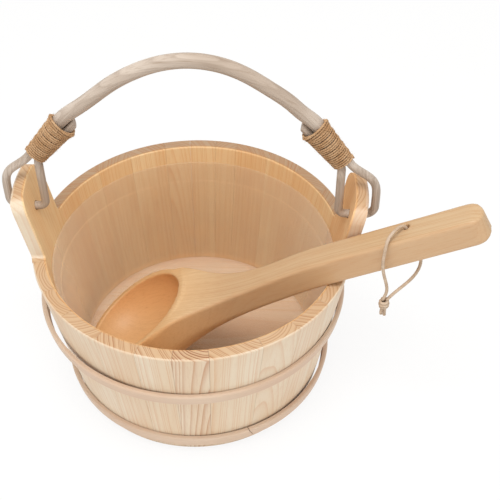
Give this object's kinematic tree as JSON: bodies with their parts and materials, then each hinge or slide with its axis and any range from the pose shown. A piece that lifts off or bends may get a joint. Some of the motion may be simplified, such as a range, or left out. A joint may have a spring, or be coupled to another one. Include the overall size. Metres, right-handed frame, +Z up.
{
  "type": "wooden piggin",
  "caption": "Small coopered wooden pail with two raised ear staves, wooden hoops, a swinging cane bail bound with twine, an inner liner and a wooden ladle on a cord loop.",
  "frame": {"origin": "centre of the round base, on the surface it stands on", "axes": "+Z up, +X towards the right-hand ear and along the bail's swing axis, -Y towards the viewer"},
  "size_m": [0.3591, 0.2494, 0.304],
  "materials": {
    "stave_wood": "satin",
    "board_wood": "satin",
    "hoop_wood": "satin",
    "cane": "matte",
    "twine": "matte",
    "liner_plastic": "matte",
    "ladle_wood": "satin",
    "cord": "matte"
  },
  "bodies": {
    "pail": {"stave_front_01": "stave_wood", "stave_front_02": "stave_wood", "stave_front_03": "stave_wood", "stave_front_04": "stave_wood", "stave_front_05": "stave_wood", "stave_front_06": "stave_wood", "stave_front_07": "stave_wood", "stave_front_08": "stave_wood", "stave_front_09": "stave_wood", "stave_front_10": "stave_wood", "stave_back_01": "stave_wood", "stave_back_02": "stave_wood", "stave_back_03": "stave_wood", "stave_back_04": "stave_wood", "stave_back_05": "stave_wood", "stave_back_06": "stave_wood", "stave_back_07": "stave_wood", "stave_back_08": "stave_wood", "stave_back_09": "stave_wood", "stave_back_10": "stave_wood", "stave_back_11": "stave_wood", "ear_stave_right": "stave_wood", "ear_stave_left": "stave_wood", "bottom_board": "board_wood", "hoop_upper": "hoop_wood", "hoop_lower": "hoop_wood", "liner": "liner_plastic"},
    "bail": {"bail_cane": "cane", "twine_right": "twine", "twine_left": "twine"},
    "ladle": {"ladle": "ladle_wood", "ladle_cord_front": "cord", "ladle_cord_back": "cord", "cord_knot": "cord"}
  },
  "joints": [
    {"name": "bail_swing", "type": "hinge", "parent": "pail", "child": "bail", "pos_m": [0, 0, 0.165], "axis": [1, 0, 0], "range_deg": [-95, 45]},
    {"name": "ladle_lift", "type": "slide", "parent": "pail", "child": "ladle", "axis": [0.08, -0.25, 0.9649], "range_m": [0, 0.25]}
  ]
}
